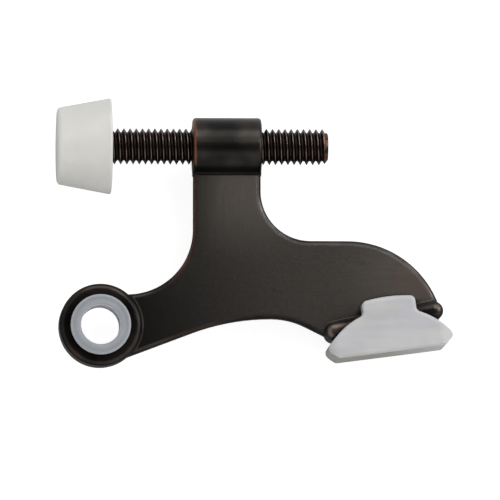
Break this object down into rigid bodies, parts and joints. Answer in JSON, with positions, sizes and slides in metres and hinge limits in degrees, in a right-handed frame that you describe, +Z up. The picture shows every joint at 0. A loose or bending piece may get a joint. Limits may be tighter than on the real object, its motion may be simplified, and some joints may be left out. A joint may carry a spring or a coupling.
{
  "type": "hinge pin door stop",
  "caption": "Hinge pin door stop: bronze casting with a bushed eye for the hinge pin, a threaded adjusting screw with a rubber bumper for the door and a rubber pad for the wall.",
  "frame": {"origin": "middle of the hinge pin bore, on the mid-plane of the casting", "axes": "+Z up along the hinge pin, out of the bush's flanged end; +X along the adjusting screw, away from the rubber bumper; +Y from the pin towards the screw"},
  "size_m": [0.0636, 0.0434, 0.0154],
  "materials": {
    "oil_rubbed_bronze": "oil rubbed bronze over a zinc casting, satin, brushed faces, copper rubbed through at the edges",
    "screw_bronze": "oil rubbed bronze over steel, copper on the thread's crests and tip",
    "white_rubber": "white moulded rubber, soft satin",
    "clear_white_rubber": "milky translucent rubber, soft satin",
    "nylon": "milky translucent nylon, satin"
  },
  "bodies": {
    "arm": {"arm_casting": "oil_rubbed_bronze", "pin_bush": "nylon", "wall_pad": "clear_white_rubber"},
    "bumper": {"door_bumper": "white_rubber"},
    "screw": {"adjusting_screw": "screw_bronze"}
  },
  "joints": [
    {"name": "screw_travel", "type": "slide", "parent": "arm", "child": "bumper", "axis": [1, 0, 0], "range_m": [-0.0105, 0.0126]},
    {"name": "screw_turn", "type": "hinge", "parent": "bumper", "child": "screw", "pos_m": [0, 0.02905, 0], "axis": [1, 0, 0], "range_deg": [-3816, 4572]}
  ],
  "couplings": [
    {"joint": "screw_turn", "follows": "screw_travel", "rad_per_m": 6283.2}
  ]
}
